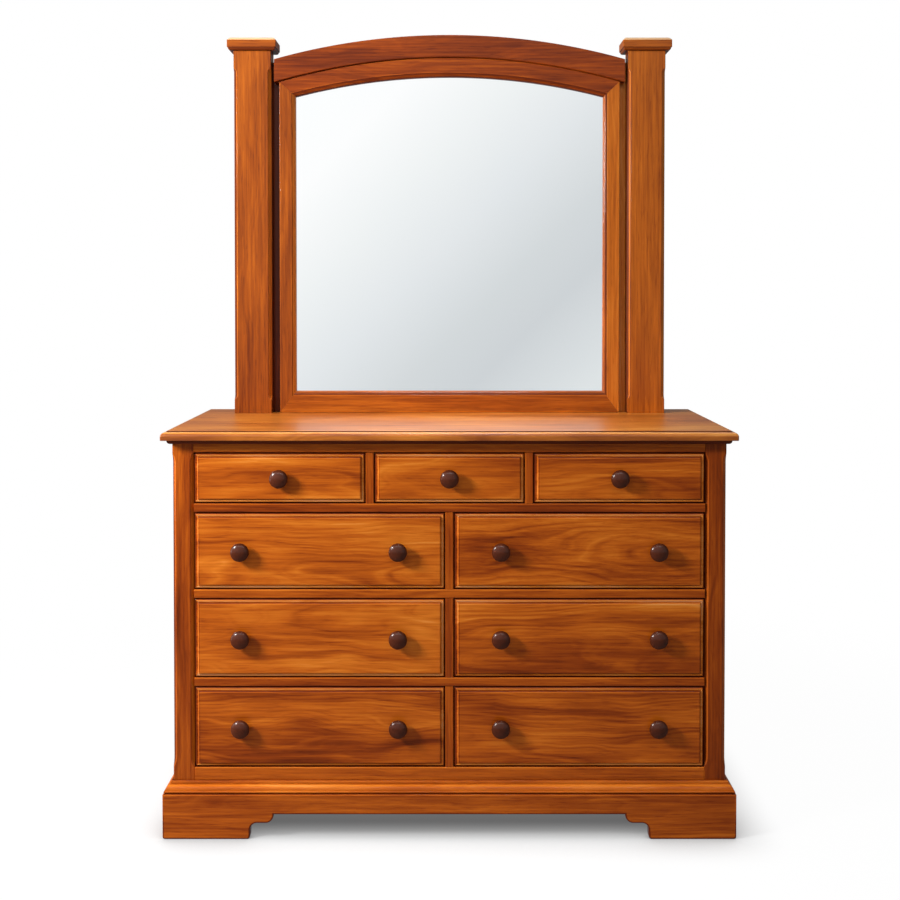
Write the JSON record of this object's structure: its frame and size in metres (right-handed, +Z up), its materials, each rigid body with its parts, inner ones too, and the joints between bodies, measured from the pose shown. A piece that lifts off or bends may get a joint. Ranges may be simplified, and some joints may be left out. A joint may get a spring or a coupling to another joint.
{
  "type": "dresser with mirror",
  "caption": "Wooden dresser with rows of sliding drawers and round knobs on a bracket-foot plinth, carrying a fixed arched mirror framed between capped posts.",
  "frame": {"origin": "on the floor, below the middle of the dresser's box", "axes": "+X to the viewer's right, +Y to the back, +Z up; the drawers open along -Y"},
  "size_m": [1.382, 0.475, 2.0215],
  "materials": {
    "case_wood": "glossy lacquer over stained, streaky straight-grained wood",
    "knob_wood": "glossy dark reddish-brown stain",
    "box_wood": "sealed light wood",
    "panel_wood": "dull brown-stained panel",
    "mirror_glass": "silvered flat glass"
  },
  "bodies": {
    "carcase": {"left_stile": "case_wood", "right_stile": "case_wood", "left_side": "case_wood", "right_side": "case_wood", "back_panel": "panel_wood", "top_rail": "case_wood", "top_drawer_frame": "case_wood", "upper_drawer_frame": "case_wood", "middle_drawer_frame": "case_wood", "lower_drawer_frame": "case_wood", "dresser_top": "case_wood", "bed_moulding": "case_wood", "base_moulding": "case_wood", "plinth_front": "case_wood", "plinth_left": "case_wood", "plinth_right": "case_wood", "left_post": "case_wood", "right_post": "case_wood", "left_post_cap": "case_wood", "right_post_cap": "case_wood", "mirror_frame_left": "case_wood", "mirror_frame_right": "case_wood", "mirror_frame_top": "case_wood", "mirror_frame_bottom": "case_wood", "crown_rail": "case_wood", "mirror_glass": "mirror_glass", "mirror_backing": "panel_wood"},
    "drawer_top_left": {"drawer_top_left_front": "case_wood", "drawer_top_left_box": "box_wood", "drawer_top_left_knob": "knob_wood"},
    "drawer_top_centre": {"drawer_top_centre_front": "case_wood", "drawer_top_centre_box": "box_wood", "drawer_top_centre_knob": "knob_wood"},
    "drawer_top_right": {"drawer_top_right_front": "case_wood", "drawer_top_right_box": "box_wood", "drawer_top_right_knob": "knob_wood"},
    "drawer_upper_left": {"drawer_upper_left_front": "case_wood", "drawer_upper_left_box": "box_wood", "drawer_upper_left_knob_left": "knob_wood", "drawer_upper_left_knob_right": "knob_wood"},
    "drawer_upper_right": {"drawer_upper_right_front": "case_wood", "drawer_upper_right_box": "box_wood", "drawer_upper_right_knob_left": "knob_wood", "drawer_upper_right_knob_right": "knob_wood"},
    "drawer_middle_left": {"drawer_middle_left_front": "case_wood", "drawer_middle_left_box": "box_wood", "drawer_middle_left_knob_left": "knob_wood", "drawer_middle_left_knob_right": "knob_wood"},
    "drawer_middle_right": {"drawer_middle_right_front": "case_wood", "drawer_middle_right_box": "box_wood", "drawer_middle_right_knob_left": "knob_wood", "drawer_middle_right_knob_right": "knob_wood"},
    "drawer_lower_left": {"drawer_lower_left_front": "case_wood", "drawer_lower_left_box": "box_wood", "drawer_lower_left_knob_left": "knob_wood", "drawer_lower_left_knob_right": "knob_wood"},
    "drawer_lower_right": {"drawer_lower_right_front": "case_wood", "drawer_lower_right_box": "box_wood", "drawer_lower_right_knob_left": "knob_wood", "drawer_lower_right_knob_right": "knob_wood"}
  },
  "joints": [
    {"name": "drawer_top_left_slide", "type": "slide", "parent": "carcase", "child": "drawer_top_left", "axis": [0, -1, 0], "range_m": [0, 0.3]},
    {"name": "drawer_top_centre_slide", "type": "slide", "parent": "carcase", "child": "drawer_top_centre", "axis": [0, -1, 0], "range_m": [0, 0.3]},
    {"name": "drawer_top_right_slide", "type": "slide", "parent": "carcase", "child": "drawer_top_right", "axis": [0, -1, 0], "range_m": [0, 0.3]},
    {"name": "drawer_upper_left_slide", "type": "slide", "parent": "carcase", "child": "drawer_upper_left", "axis": [0, -1, 0], "range_m": [0, 0.3]},
    {"name": "drawer_upper_right_slide", "type": "slide", "parent": "carcase", "child": "drawer_upper_right", "axis": [0, -1, 0], "range_m": [0, 0.3]},
    {"name": "drawer_middle_left_slide", "type": "slide", "parent": "carcase", "child": "drawer_middle_left", "axis": [0, -1, 0], "range_m": [0, 0.3]},
    {"name": "drawer_middle_right_slide", "type": "slide", "parent": "carcase", "child": "drawer_middle_right", "axis": [0, -1, 0], "range_m": [0, 0.3]},
    {"name": "drawer_lower_left_slide", "type": "slide", "parent": "carcase", "child": "drawer_lower_left", "axis": [0, -1, 0], "range_m": [0, 0.3]},
    {"name": "drawer_lower_right_slide", "type": "slide", "parent": "carcase", "child": "drawer_lower_right", "axis": [0, -1, 0], "range_m": [0, 0.3]}
  ]
}
